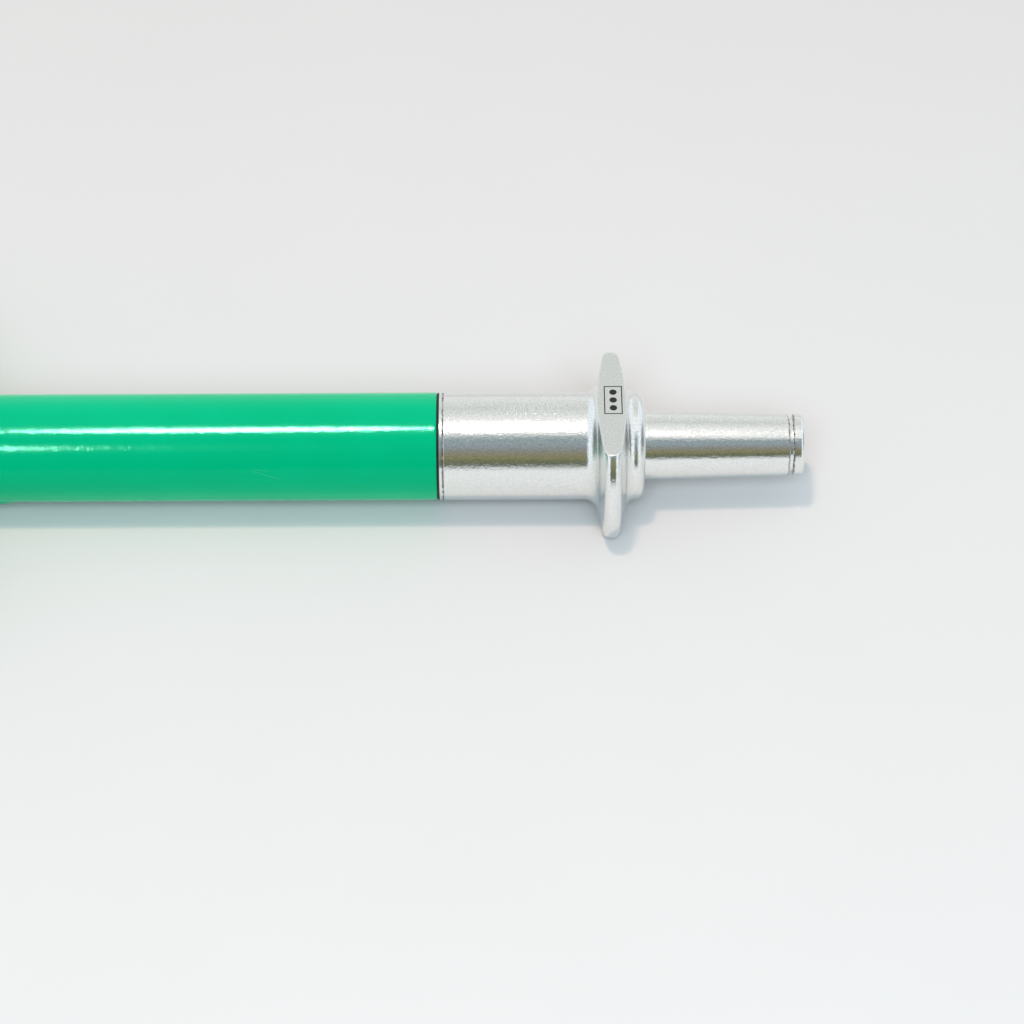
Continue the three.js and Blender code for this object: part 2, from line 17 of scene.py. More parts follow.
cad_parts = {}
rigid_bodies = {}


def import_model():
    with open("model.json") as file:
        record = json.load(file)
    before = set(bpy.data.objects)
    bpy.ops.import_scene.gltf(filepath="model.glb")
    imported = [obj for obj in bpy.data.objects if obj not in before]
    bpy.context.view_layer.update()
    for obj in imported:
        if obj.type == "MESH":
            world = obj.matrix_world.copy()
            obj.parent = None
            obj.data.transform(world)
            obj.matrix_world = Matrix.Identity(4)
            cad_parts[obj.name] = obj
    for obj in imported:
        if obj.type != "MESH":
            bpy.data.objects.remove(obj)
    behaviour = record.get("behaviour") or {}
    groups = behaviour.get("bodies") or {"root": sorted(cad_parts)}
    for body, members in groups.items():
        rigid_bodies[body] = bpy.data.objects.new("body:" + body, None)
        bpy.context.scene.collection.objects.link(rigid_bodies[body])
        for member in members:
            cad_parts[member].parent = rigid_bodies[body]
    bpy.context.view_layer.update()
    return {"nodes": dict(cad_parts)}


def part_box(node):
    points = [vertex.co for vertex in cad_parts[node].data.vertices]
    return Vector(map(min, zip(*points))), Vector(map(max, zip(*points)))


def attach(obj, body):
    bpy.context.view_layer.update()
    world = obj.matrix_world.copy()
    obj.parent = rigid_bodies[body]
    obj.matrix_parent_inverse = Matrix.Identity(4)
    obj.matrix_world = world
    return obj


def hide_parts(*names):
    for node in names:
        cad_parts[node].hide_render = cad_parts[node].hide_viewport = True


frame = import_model()

# %% [markdown]
# ## Stations along the axis
#
# A turned tool is drawn from one datum. Here it is the middle plane of the flange, and a station
# is a distance along the axis from there, positive towards the spigot. Two measures from the
# frame fix the datum: the end of the spigot, which is 60 mm from it, and the height of the
# flange's upper flat, which is twice the height of the axis.

# %% The datum
MM = 0.001
SPIGOT_END = 60
DATUM = Vector((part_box("taper_spigot")[1].x - SPIGOT_END * MM, 0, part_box("drive_head")[1].z / 2))


def station_of(x):
    """The station, in millimetres, of a place along X in metres."""
    return (x - DATUM.x) / MM


def datum_x(station):
    """The place along X, in metres, of a station."""
    return DATUM.x + station * MM


def ends(node):
    """The first and last station of a CAD node, in millimetres."""
    low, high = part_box(node)
    return station_of(low.x), station_of(high.x)


def radius_of(node):
    """Half the width of a CAD node across Y, in millimetres."""
    low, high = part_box(node)
    return (high.y - low.y) / 2 / MM


print("datum", [round(v, 5) for v in DATUM], "tube from", ends("hammer_tube"))

# %% [markdown]
# ## Turned shapes
#
# Nearly every piece of this tool comes off a lathe. In Blender the same idea is a profile and a
# spin: the corners of half a section become a chain of edges, a vertex bevel gives each corner
# its fillet, and one spin about the axis makes the solid. A profile could also be drawn as a
# curve with a Screw modifier, but the bmesh way keeps the fillets as numbers of the drawing.
#
# Smooth shading averages the normals of the faces that meet at a point. Between a small fillet
# and a long plain cylinder that bends the shading far out over the cylinder, so each long edge of
# a profile gets a holding point near both of its ends.


# %% A profile, and the spin that turns it
def fillet_reach(before, corner, after, fillet):
    """How far from a corner its fillet starts, along both edges."""
    back = Vector(before[:2]) - Vector(corner[:2])
    ahead = Vector(after[:2]) - Vector(corner[:2])
    return fillet / math.tan(back.angle(ahead) / 2)


def hold_long_edges(bm, reach=0.25):
    """Adds a holding point near both ends of each long edge."""
    for edge in [e for e in bm.edges if e.calc_length() > 4 * reach]:
        first, last = edge.verts
        _, near = bmesh.utils.edge_split(edge, first, reach / edge.calc_length())
        rest = next(e for e in last.link_edges if near in e.verts)
        bmesh.utils.edge_split(rest, last, reach / rest.calc_length())


def profile(corners, arc_steps=6):
    """A chain of edges through corners (station, radius, fillet).

    It is closed unless it starts on the axis.
    """
    bm = bmesh.new()
    verts = [bm.verts.new((corner[0], 0, corner[1])) for corner in corners]
    for first, second in zip(verts, verts[1:]):
        bm.edges.new((first, second))
    if corners[0][1] > 0:
        bm.edges.new((verts[-1], verts[0]))
    for i, corner in enumerate(corners):
        if len(corner) == 3:
            around = corners[i - 1], corner, corners[(i + 1) % len(corners)]
            bmesh.ops.bevel(
                bm,
                geom=[verts[i]],
                affect="VERTICES",
                offset=fillet_reach(*around, corner[2]),
                segments=arc_steps,
                profile=0.5,
                material=-1,
            )
    hold_long_edges(bm)
    return bm


def divide(bm, step, wanted):
    """Cuts the wanted edges of a profile into lengths of about step."""
    for edge in [e for e in bm.edges if wanted(e)]:
        cuts = int(edge.calc_length() / step)
        if cuts:
            bmesh.ops.subdivide_edges(bm, edges=[edge], cuts=cuts)


def spun(bm, segments=128):
    """Spins a profile about the axis into a closed solid whose faces point out."""
    bmesh.ops.spin(
        bm,
        geom=bm.verts[:] + bm.edges[:],
        cent=(0, 0, 0),
        axis=(1, 0, 0),
        angle=2 * math.pi,
        steps=segments,
        use_merge=True,
    )
    bmesh.ops.remove_doubles(bm, verts=bm.verts, dist=1e-4)
    bmesh.ops.recalc_face_normals(bm, faces=bm.faces)
    return bm


def turned(corners, segments=128, arc_steps=6):
    return spun(profile(corners, arc_steps), segments)


def flatten(bm, half, softness, wanted=lambda v: True):
    """Presses what stands above half, on both sides, down to a flat with a soft edge."""
    for v in [v for v in bm.verts if wanted(v)]:
        gap = (half - abs(v.co.z)) / softness
        if gap < 8:
            v.co.z = math.copysign(half - softness * math.log1p(math.exp(gap)), v.co.z)


# %% [markdown]
# ## From a bmesh to a piece
#
# The sizes so far are millimetres about the tool's own axis. A piece is finished by moving it to
# the datum and scaling it to metres inside its mesh, so that its object stays at the origin. Its
# faces are shaded smooth except across real edges. Then the piece is hung on the body that carries
# it and takes its finish as its material, and the CAD node it stands for is hidden.


# %% Placing a piece on its body
def move(bm, vec):
    """Moves a whole shape."""
    bmesh.ops.translate(bm, verts=bm.verts, vec=vec)


def rotate(bm, angle, axis):
    """Turns a whole shape about the axis X, Y or Z."""
    bmesh.ops.rotate(bm, verts=bm.verts, cent=(0, 0, 0), matrix=Matrix.Rotation(angle, 3, axis))


def verts_in(geom):
    """The points in a list of mixed geometry, such as an operator gives back."""
    return [v for v in geom if isinstance(v, bmesh.types.BMVert)]


def thicken(bm, vec):
    """Extrudes all faces of a flat shape along a vector."""
    raised = bmesh.ops.extrude_face_region(bm, geom=bm.faces[:])["geom"]
    bmesh.ops.translate(bm, verts=verts_in(raised), vec=vec)


def mesh_of(name, bm):
    """Turns a bmesh into a mesh and frees it."""
    mesh = bpy.data.meshes.new(name)
    bm.to_mesh(mesh)
    bm.free()
    return mesh


def add_object(name, data):
    """Makes an object and links it to the scene."""
    obj = bpy.data.objects.new(name, data)
    bpy.context.scene.collection.objects.link(obj)
    return obj


def upright(bm, station):
    """Turns a shape made along X so that it stands along Z at a station."""
    rotate(bm, -math.pi / 2, "Y")
    move(bm, (station, 0, 0))
    return bm


def half_turn(bm):
    """Turns a shape half round the tool's axis, from the front side to the rear side."""
    rotate(bm, math.pi, "X")
    return bm


def piece(name, bm, body, finish, node=None, sharp_angle=38):
    """Makes the object of a shape in millimetres about the axis, on its body, and hides its CAD
    node.
    """
    bmesh.ops.transform(bm, verts=bm.verts, matrix=Matrix.Translation(DATUM) @ Matrix.Scale(MM, 4))
    mesh = mesh_of(name, bm)
    mesh.materials.append(finish)
    mesh.shade_smooth()
    mesh.set_sharp_from_angle(angle=math.radians(sharp_angle))
    obj = add_object(name, mesh)
    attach(obj, body)
    if node:
        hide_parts(node)
    print(f"{name}: {len(mesh.polygons)} faces on {body}")
    return obj


# %% [markdown]
# ## Shader maths as Python
#
# A node tree is a sum written sideways. The class below wraps one socket and adds a Math node
# whenever Python adds, multiplies or compares it, so a mask reads like a formula. A second class
# holds one material: it makes any other node from its type, settings and inputs, and it has the
# few patterns that several finishes share, such as noise on Object coordinates.


# %% Fields and finishes
class Field:
    """A number or colour that varies over a surface: one output socket of a node tree."""

    def __init__(self, maker, socket):
        self.maker = maker
        self.socket = socket

    def math(self, operation, first, second=0):
        return self.maker.node("ShaderNodeMath", {"operation": operation}, {0: first, 1: second})

    def __add__(self, other):
        return self.math("ADD", self, other)

    def __radd__(self, other):
        return self.math("ADD", other, self)

    def __sub__(self, other):
        return self.math("SUBTRACT", self, other)

    def __rsub__(self, other):
        return self.math("SUBTRACT", other, self)

    def __mul__(self, other):
        return self.math("MULTIPLY", self, other)

    def __rmul__(self, other):
        return self.math("MULTIPLY", other, self)

    def __truediv__(self, other):
        return self.math("DIVIDE", self, other)

    def __rtruediv__(self, other):
        return self.math("DIVIDE", other, self)

    def __neg__(self):
        return self.math("MULTIPLY", self, -1)

    def __abs__(self):
        return self.math("ABSOLUTE", self)

    def between(self, low, high):
        """0 below low, 1 above high, with a smooth step in between. It also runs downwards."""
        settings = {"interpolation_type": "SMOOTHSTEP"}
        inputs = {"Value": self, "From Min": low, "From Max": high}
        return self.maker.node("ShaderNodeMapRange", settings, inputs)


class NodeMaker:
    """Makes nodes in one tree from their type, settings and inputs."""

    def __init__(self, tree):
        self.tree = tree

    def feed(self, socket, value):
        if isinstance(value, Field):
            self.tree.links.new(value.socket, socket)
        else:
            socket.default_value = value

    def node(self, kind, settings=None, inputs=None, output=0):
        made = self.tree.nodes.new(kind)
        for name, value in (settings or {}).items():
            setattr(made, name, value)
        for name, value in (inputs or {}).items():
            self.feed(made.inputs[name], value)
        return Field(self, made.outputs[output])

    def mix(self, factor, first, second):
        """A colour between two colours, each (red, green, blue) or a field."""
        made = self.tree.nodes.new("ShaderNodeMix")
        made.data_type = "RGBA"
        colour_sockets = [s for s in made.inputs if s.type == "RGBA"]
        self.feed(made.inputs["Factor"], factor)
        for socket, value in zip(colour_sockets, (first, second)):
            self.feed(socket, value if isinstance(value, Field) else (*value, 1))
        return Field(self, next(s for s in made.outputs if s.type == "RGBA"))


class Finish(NodeMaker):
    """One material, built round a Principled shader whose constants are given by name."""

    def __init__(self, name, **constants):
        self.material = bpy.data.materials.new(name)
        self.material.use_nodes = True
        super().__init__(self.material.node_tree)
        self.shader = self.tree.nodes["Principled BSDF"]
        for socket, value in constants.items():
            self.shader.inputs[socket.replace("_", " ")].default_value = value

    def place(self, stretch=(1, 1, 1), shift=(0, 0, 0)):
        """Object coordinates, stretched and shifted."""
        coordinates = self.node("ShaderNodeTexCoord", output="Object")
        inputs = {"Vector": coordinates, "Scale": stretch, "Location": shift}
        return self.node("ShaderNodeMapping", None, inputs)

    def noise(self, size, detail=3, stretch=(1, 1, 1), shift=(0, 0, 0), roughness=0.55):
        """Noise whose features are about size millimetres across."""
        inputs = {
            "Vector": self.place(stretch, shift),
            "Scale": 1 / (size * MM),
            "Detail": detail,
            "Roughness": roughness,
        }
        return self.node("ShaderNodeTexNoise", None, inputs, "Fac")

    def cells(self, size, feature="F1", stretch=(1, 1, 1), shift=(0, 0, 0)):
        """Distance to the nearest cell centre, or to the nearest cell wall, in cells."""
        inputs = {"Vector": self.place(stretch, shift), "Scale": 1 / (size * MM)}
        return self.node("ShaderNodeTexVoronoi", {"feature": feature}, inputs, "Distance")

    def axis(self, name):
        """One of the Object coordinates X, Y or Z, in metres."""
        return self.node("ShaderNodeSeparateXYZ", None, {"Vector": self.place()}, name)

    def bands(self, stations, width):
        """1 in thin, broken lines round the tool's axis at each station, for painted shade in seams.
        """
        along = self.axis("X")
        total = 0
        for station in stations:
            total = total + abs(along - datum_x(station)).between(width * MM, width * MM / 3)
        return total * self.noise(1.3, detail=3, shift=(0.9, 0.9, 0.1)).between(0.40, 0.56)

    def relief(self, height, depth, strength=1.0):
        """Feeds a height between 0 and 1 to the shader's normal; depth is in millimetres."""
        inputs = {"Height": height, "Distance": depth * MM, "Strength": strength}
        self.feed(self.shader.inputs["Normal"], self.node("ShaderNodeBump", None, inputs))

    def set(self, **inputs):
        for socket, value in inputs.items():
            self.feed(self.shader.inputs[socket.replace("_", " ")], value)
        return self.material


# %% [markdown]
# ## Bright plating on a barrel-finished forging
#
# The head, the spigot and the washers are forged or turned, tumbled with stones in a barrel and
# then plated bright. The tumbling leaves a very fine orange-peel grain, so that a reflection's
# edge looks crumbled rather than blurred. That is a bump, not roughness: the shader stays nearly
# a mirror, and two layers of fine noise tilt it. The grain also changes the metal's tone a little,
# because its pits hold less light. A few deeper nicks come from cells, kept near some of their
# centres, and painted shade darkens the seam with the washer and both edges of the groove.


# %% Plated steel
# Stations of painted shade: the seam with the washer and both edges of the groove.
SHADE_SEAMS = -52.4, 55.35, 56.85


def plated_steel():
    f = Finish("plated_steel", Metallic=1.0)
    grain = f.noise(0.5, detail=2, roughness=0.6)
    swell = f.noise(1.1, detail=2, shift=(0.3, 0.1, 0.2))
    nicks = f.cells(2.4).between(0.09, 0.02) * f.noise(9, shift=(0.5, 0.2, 0.7)).between(0.54, 0.60)
    colour = f.mix(grain.between(0.30, 0.70), (0.765, 0.78, 0.765), (0.905, 0.91, 0.89))
    # Painted shade: the seams and the groove's edges get a dark colour and more roughness; the same
    # dark colour also marks the real nicks.
    seam_shade = f.bands(SHADE_SEAMS, 0.45)
    colour = f.mix(nicks * 0.6 + seam_shade * 0.85, colour, (0.16, 0.155, 0.15))
    f.relief(grain * 0.7 + swell * 0.6 - nicks * 0.6, 0.075)
    rough = 0.07 + 0.10 * f.noise(1.6, detail=3) + 0.25 * seam_shade
    return f.set(Base_Color=colour, Roughness=rough)


PLATED = plated_steel()

# %% [markdown]
# ## Green enamel
#
# The tube is sprayed with one thick coat of gloss enamel. The colour is nearly even, and what
# shows that it is paint is the narrow highlight with its wavy edges. A clear coat would wash the
# deep green out under a bright ceiling, so one weak, sharp gloss does the work. Two sizes of low
# noise give the orange peel. Handling has left a few fine scratches, which are thin walls between
# long cells, kept only in a few patches.


# %% Enamel
def green_enamel():
    f = Finish("green_enamel", Specular_IOR_Level=0.14, Specular_Tint=(0.35, 1, 0.8, 1))
    peel = f.noise(3.2, detail=2) * 0.55 + f.noise(1.0, detail=2, shift=(0.4, 0.2, 0.1)) * 0.45
    depth = f.noise(45, detail=2, shift=(0.1, 0.6, 0.3)).between(0.3, 0.7)
    colour = f.mix(depth, (0.000, 0.565, 0.252), (0.000, 0.615, 0.285))
    lines = f.cells(9, "DISTANCE_TO_EDGE", stretch=(0.35, 1, 1), shift=(0.2, 0.7, 0.1))
    patch = f.noise(16, detail=1, shift=(0.8, 0.3, 0.5)).between(0.68, 0.72)
    scratch = lines.between(0.008, 0.003) * patch
    colour = f.mix(scratch * 0.15, colour, (0.30, 0.72, 0.58))
    f.relief(peel - scratch * 0.1, 0.06)
    return f.set(Base_Color=colour, Roughness=0.08 + 0.05 * f.noise(6) + 0.1 * scratch)


ENAMEL = green_enamel()

# %% [markdown]
# ## The other finishes
#
# Bright drawn steel has fine lines along the bar, so its noise is stretched a long way in X.
# Bronze and brass are turned, which leaves lines round the axis, so theirs is squeezed in X.
# Rubber is nearly black with a moulded bloom, the knob's plastic has a spark-eroded texture, and
# black oxide is a dark, oily metal. Each is one short function of the same kind.


# %% Bare metals
def drawn_steel():
    f = Finish("drawn_steel", Metallic=1.0)
    lines = f.noise(0.5, detail=3, stretch=(0.02, 1, 1))
    stain = f.noise(20, detail=4, shift=(0.3, 0.3, 0.8)).between(0.45, 0.75)
    colour = f.mix(stain * 0.5, (0.56, 0.565, 0.57), (0.40, 0.375, 0.34))
    f.relief(lines, 0.006)
    return f.set(Base_Color=colour, Roughness=0.22 + 0.14 * lines + 0.1 * stain)


def turned_metal(name, bright, dull):
    f = Finish(name, Metallic=1.0)
    lines = f.noise(0.35, detail=2, stretch=(1, 0.05, 0.05))
    tarnish = f.noise(7, detail=4, shift=(0.6, 0.1, 0.2)).between(0.35, 0.75)
    f.relief(lines, 0.008)
    colour = f.mix(tarnish, bright, dull)
    return f.set(Base_Color=colour, Roughness=0.24 + 0.12 * lines + 0.12 * tarnish)


def black_oxide():
    f = Finish("black_oxide", Metallic=0.9)
    worn = f.noise(2.5, detail=5, roughness=0.7).between(0.62, 0.72)
    f.relief(f.noise(0.4), 0.006)
    colour = f.mix(worn * 0.6, (0.028, 0.028, 0.031), (0.22, 0.21, 0.20))
    return f.set(Base_Color=colour, Roughness=0.34 + 0.1 * f.noise(3))


DRAWN = drawn_steel()
BRONZE = turned_metal("bronze", (0.60, 0.37, 0.17), (0.36, 0.21, 0.10))
BRASS = turned_metal("brass", (0.74, 0.54, 0.24), (0.46, 0.32, 0.13))
OXIDE = black_oxide()


# %% Rubber, plastic and ink
def moulded(name, dark, light, rough, grain, depth):
    """A moulded, non-metallic finish: a fine grain and a pale bloom in soft patches."""
    f = Finish(name, IOR=1.49)
    bloom = f.noise(11, detail=4, shift=(0.1, 0.4, 0.9)).between(0.42, 0.72)
    texture = f.noise(grain, detail=3, roughness=0.65)
    f.relief(texture, depth)
    colour = f.mix(bloom, dark, light)
    return f.set(Base_Color=colour, Roughness=rough + 0.15 * bloom + 0.1 * texture)


RUBBER = moulded("grip_rubber", (0.010, 0.010, 0.010), (0.021, 0.021, 0.020), 0.42, 0.5, 0.03)
SEAL = moulded("seal_rubber", (0.003, 0.003, 0.003), (0.006, 0.006, 0.006), 0.45, 0.5, 0.01)
URETHANE = moulded("urethane", (0.42, 0.19, 0.04), (0.50, 0.26, 0.08), 0.30, 0.8, 0.01)
PLASTIC = moulded("knob_plastic", (0.010, 0.010, 0.011), (0.017, 0.017, 0.018), 0.32, 0.35, 0.02)
INK = moulded("printed_ink", (0.004, 0.004, 0.004), (0.012, 0.012, 0.012), 0.45, 0.2, 0.004)

# %% [markdown]
# ## The head
#
# The head is one forging: a sleeve as thick as the tube, a flange like a lens, and a rounded
# shoulder that seats on the post. The inside corners are forging fillets, larger behind the
# flange than in front of it. The flange is spun round and then given two flats for a spanner.
# Cutting with a plane would leave slivers along the edge of the flat, so the cones are divided
# into fine rings first, and the rings that stand too high are pressed down with a soft edge. The
# lens is convex, so each pressed point lands on its own place of the flat.

# %% Head
TUBE_RADIUS = radius_of("hammer_tube")
FLANGE_RADIUS = radius_of("drive_head")
SLEEVE_END, SHOULDER_FACE = ends("drive_head")
FLAT_HALF = DATUM.z / MM
ROD_RADIUS = radius_of("drive_rod")
BORE_RADIUS = ROD_RADIUS + 0.3
SHANK_RADIUS = 7
SHANK_BORE = SHANK_RADIUS + 0.1
SPIGOT_ROOT = radius_of("taper_spigot")
SPIGOT_SEAT = 9.9
SEAT_BORE = SPIGOT_ROOT + 0.04
RIM_FILLET = 2.2
WEB_REAR = -14
WEB_FRONT = -4


def head_forging():
    bm = profile([
        (WEB_REAR, 0),
        (WEB_REAR, BORE_RADIUS),
        (SLEEVE_END, BORE_RADIUS),
        (SLEEVE_END, TUBE_RADIUS, 0.35),
        (-4.85, TUBE_RADIUS, 4.5),
        (-2.25, FLANGE_RADIUS, RIM_FILLET),
        (2.21, FLANGE_RADIUS, RIM_FILLET),
        (4.96, TUBE_RADIUS, 3.0),
        (SHOULDER_FACE, TUBE_RADIUS, 3.2),
        (SHOULDER_FACE, SEAT_BORE, 0.08),
        (SPIGOT_SEAT, SEAT_BORE),
        (SPIGOT_SEAT, SHANK_BORE),
        (WEB_FRONT, SHANK_BORE),
        (WEB_FRONT, 0),
    ], arc_steps=12)
    divide(bm, 0.35, lambda e: min(v.co.z for v in e.verts) > TUBE_RADIUS + 0.1)
    spun(bm, segments=288)
    flatten(bm, FLAT_HALF, 0.12)
    return bm


piece("head_forging", head_forging(), "drive_shaft", PLATED, "drive_head", 60)

# %% [markdown]
# ## The spigot and the thin rings
#
# The spigot is a separate turned pin in a shallow counterbore of the shoulder, which is why the
# corner at its root is sharp. It tapers by 1 in 20 and has a groove near its end. Between the head
# and the tube lie a thin plated washer and a black rubber ring.

# %% Spigot, washer and rubber ring
TAPER = 1 / 40
GROOVE = 55.3, 56.9
GROOVE_DEPTH = 1.2


def spigot_radius(station):
    return SPIGOT_ROOT - TAPER * (station - SHOULDER_FACE)


def spigot_pin():
    start, end = GROOVE
    floor = spigot_radius(start) - GROOVE_DEPTH
    return turned([
        (WEB_FRONT + 0.3, 0),
        (WEB_FRONT + 0.3, SHANK_RADIUS, 1),
        (SPIGOT_SEAT + 0.02, SHANK_RADIUS),
        (SPIGOT_SEAT + 0.02, SPIGOT_ROOT),
        (SHOULDER_FACE, SPIGOT_ROOT),
        (start, spigot_radius(start), 0.15),
        (start + 0.1, floor, 0.3),
        (end - 0.1, floor, 0.3),
        (end, spigot_radius(end), 0.15),
        (SPIGOT_END, spigot_radius(SPIGOT_END), 1.1),
        (SPIGOT_END, 0),
    ], segments=160)


def flat_ring(node, bore, radius, edge, closer=0):
    """A washer like its CAD node, whose front face may lie closer to its neighbour."""
    rear, front = ends(node)
    front += closer
    corners = [(rear, bore, edge), (rear, radius, edge), (front, radius, edge), (front, bore, edge)]
    return turned(corners, segments=160, arc_steps=3)


piece("spigot_pin", spigot_pin(), "drive_shaft", PLATED, "taper_spigot")
washer = flat_ring("anvil_washer", BORE_RADIUS, TUBE_RADIUS, 0.08, closer=0.12)
piece("plated_washer", washer, "drive_shaft", PLATED, "anvil_washer")
seal = flat_ring("buffer_ring", BORE_RADIUS, radius_of("buffer_ring") + 0.1, 0.1)
piece("rubber_ring", seal, "drive_shaft", SEAL, "buffer_ring")

# %% [markdown]
# ## Marks on the head
#
# The sleeve carries a row of stamped marks on its upper side and the flange a small printed box.
# Both are plain shapes here. A stamp throws up a fine burr, so each mark is a thin ring that
# stands a little out of the sleeve. The print is a hollow box of ink with three dots, only a
# few hundredths of a millimetre thick.

# %% Stamped rings and the printed box
STAMPS = 6
STAMP_FIRST = -32.1
STAMP_PITCH = 2.9
STAMP_HALF_WIDTH = 1.05
STAMP_HALF_HEIGHT = 2.1
BURR = 0.18
BURR_FLATNESS = 0.9


def stamped_rings():
    """Thin oval rings in a row, bent to the round of the sleeve's upper side."""
    bm = bmesh.new()
    upended = Matrix.Translation((1, 0, 0)) @ Matrix.Rotation(math.pi / 2, 4, "X")
    loop = bmesh.ops.create_circle(bm, segments=10, radius=BURR, matrix=upended)["verts"]
    bmesh.ops.spin(
        bm,
        geom=loop + bm.edges[:],
        cent=(0, 0, 0),
        axis=(0, 0, 1),
        angle=2 * math.pi,
        steps=40,
        use_merge=True,
    )
    bmesh.ops.remove_doubles(bm, verts=bm.verts, dist=1e-5)
    for v in bm.verts:
        way = Vector((v.co.x, v.co.y))
        away = way.length - 1
        way.normalize()
        v.co.x = way.x * (STAMP_HALF_WIDTH + away)
        v.co.y = way.y * (STAMP_HALF_HEIGHT + away)
        v.co.z = v.co.z * BURR_FLATNESS + math.sqrt(TUBE_RADIUS**2 - v.co.y**2)
    move(bm, (STAMP_FIRST, 0, 0))
    first = bm.verts[:] + bm.edges[:] + bm.faces[:]
    for i in range(1, STAMPS):
        copy = bmesh.ops.duplicate(bm, geom=first)["geom"]
        bmesh.ops.translate(bm, verts=verts_in(copy), vec=(i * STAMP_PITCH, 0, 0))
    bmesh.ops.recalc_face_normals(bm, faces=bm.faces)
    return bm


piece("stamped_rings", stamped_rings(), "drive_shaft", PLATED)

PRINT_WIDTH = 5.7
PRINT_LENGTH = 12
PRINT_LINE = 0.48
PRINT_DOT = 1.15
PRINT_CENTRE = 0.45, 1.4
INK_THICKNESS = 0.02
INK_SUNK = 0.004


def printed_box():
    """A hollow rectangle with three dots, lying on the flange's upper flat."""
    bm = bmesh.new()
    plate = bmesh.ops.create_grid(bm, x_segments=1, y_segments=1, size=0.5)["verts"]
    bmesh.ops.scale(bm, verts=plate, vec=(PRINT_WIDTH, PRINT_LENGTH, 1))
    bmesh.ops.inset_region(bm, faces=bm.faces[:], thickness=PRINT_LINE, use_boundary=True)
    middle = min(bm.faces, key=lambda face: face.calc_center_median().length)
    bmesh.ops.delete(bm, geom=[middle], context="FACES_ONLY")
    for i in (-1, 0, 1):
        place = Matrix.Translation((0, i * PRINT_LENGTH * 0.28, 0))
        bmesh.ops.create_circle(bm, cap_ends=True, segments=32, radius=PRINT_DOT, matrix=place)
    thicken(bm, (0, 0, INK_THICKNESS))
    bmesh.ops.recalc_face_normals(bm, faces=bm.faces)
    move(bm, (*PRINT_CENTRE, FLAT_HALF - INK_SUNK))
    return bm


piece("printed_box", printed_box(), "drive_shaft", INK)

# %% [markdown]
# ## The rod and its stop
#
# The rod shows only when the hammer is raised. It is a bright bar with two flats, which keep the
# handles from turning against the head. The same pressing of high points that made the spanner
# flats makes these, with almost no softness. The collar on its far end stays inside the tube.

# %% Rod and collar
ROD_END, ROD_FRONT = ends("drive_rod")
ROD_FLAT = 9
ROD_FLATS_START = -55


def keyed_rod():
    bm = turned([
        (ROD_END, 0),
        (ROD_END, ROD_RADIUS, 0.6),
        (ROD_FLATS_START - 0.5, ROD_RADIUS),
        (ROD_FLATS_START, ROD_RADIUS),
        (ROD_FRONT, ROD_RADIUS, 0.6),
        (ROD_FRONT, 0),
    ], segments=128)
    flatten(bm, ROD_FLAT, 0.02, lambda v: v.co.x < ROD_FLATS_START - 0.1)
    return bm


def keyed_ring(rear, front, bore, bore_flat, radius, edge):
    """A turned ring whose bore has two flats for the rod."""
    corners = [(rear, bore, 0.3), (rear, radius, edge), (front, radius, edge), (front, bore, 0.3)]
    bm = turned(corners, arc_steps=4)
    flatten(bm, bore_flat, 0.02, lambda v: math.hypot(v.co.y, v.co.z) < bore + 0.31)
    return bm


piece("keyed_rod", keyed_rod(), "drive_shaft", DRAWN, "drive_rod")
collar = keyed_ring(*ends("rod_stop_collar"), ROD_RADIUS + 0.3, ROD_FLAT + 0.3, 12.2, 0.3)
piece("stop_collar", collar, "drive_shaft", DRAWN, "rod_stop_collar")

# %% [markdown]
# ## The hammer tube and what is in its mouth
#
# The tube is plain pipe with a rounded lip at each end. In its mouth sits a bronze bush with a
# keyed bore. The tube is one spin, and the far end is closed by a turned cap with a washer and a
# hexagon bolt. The pad of the carrying lock goes through a hole in the tube's upper side. A spin
# can't make that, so it is drilled with a boolean. The cut leaves long thin faces as far as the
# next ring of points, so the profile gets a ring close to each side of the hole.

# %% Tube, bush and cap
TUBE_REAR, TUBE_FRONT = ends("hammer_tube")
TUBE_BORE = 13.65
BOLT_HOLE = 4.3
LOCK_STATION = station_of((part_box("lock_boss")[0].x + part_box("lock_boss")[1].x) / 2)


def drilled(bm, station, radius, height):
    """Drills an upright hole at a station, from the axis up to a height."""
    bit = bmesh.new()
    bmesh.ops.create_cone(
        bit,
        cap_ends=True,
        segments=64,
        radius1=radius,
        radius2=radius,
        depth=height,
        matrix=Matrix.Translation((station, 0, height / 2)),
    )
    blank = add_object("blank", mesh_of("blank", bm))
    drill = add_object("drill_bit", mesh_of("drill_bit", bit))
    cut = blank.modifiers.new("drill", "BOOLEAN")
    cut.operation = "DIFFERENCE"
    cut.solver = "EXACT"
    cut.object = drill
    result = bmesh.new()
    result.from_object(blank, bpy.context.evaluated_depsgraph_get())
    for obj in (blank, drill):
        mesh = obj.data
        bpy.data.objects.remove(obj)
        bpy.data.meshes.remove(mesh)
    return result


def green_tube():
    """The tube, with two extra rings on each side that keep the hole's cuts short."""
    around_hole = LOCK_STATION - 16, LOCK_STATION + 16
    tube = turned([
        (TUBE_REAR, TUBE_BORE, 0.4),
        (TUBE_REAR, TUBE_RADIUS, 0.6),
        *((station, TUBE_RADIUS) for station in around_hole),
        (TUBE_FRONT, TUBE_RADIUS, 0.6),
        (TUBE_FRONT, TUBE_BORE, 0.4),
        *((station, TUBE_BORE) for station in reversed(around_hole)),
    ], segments=192)
    return drilled(tube, LOCK_STATION, radius_of("lock_pad") + 0.3, TUBE_RADIUS + 4)


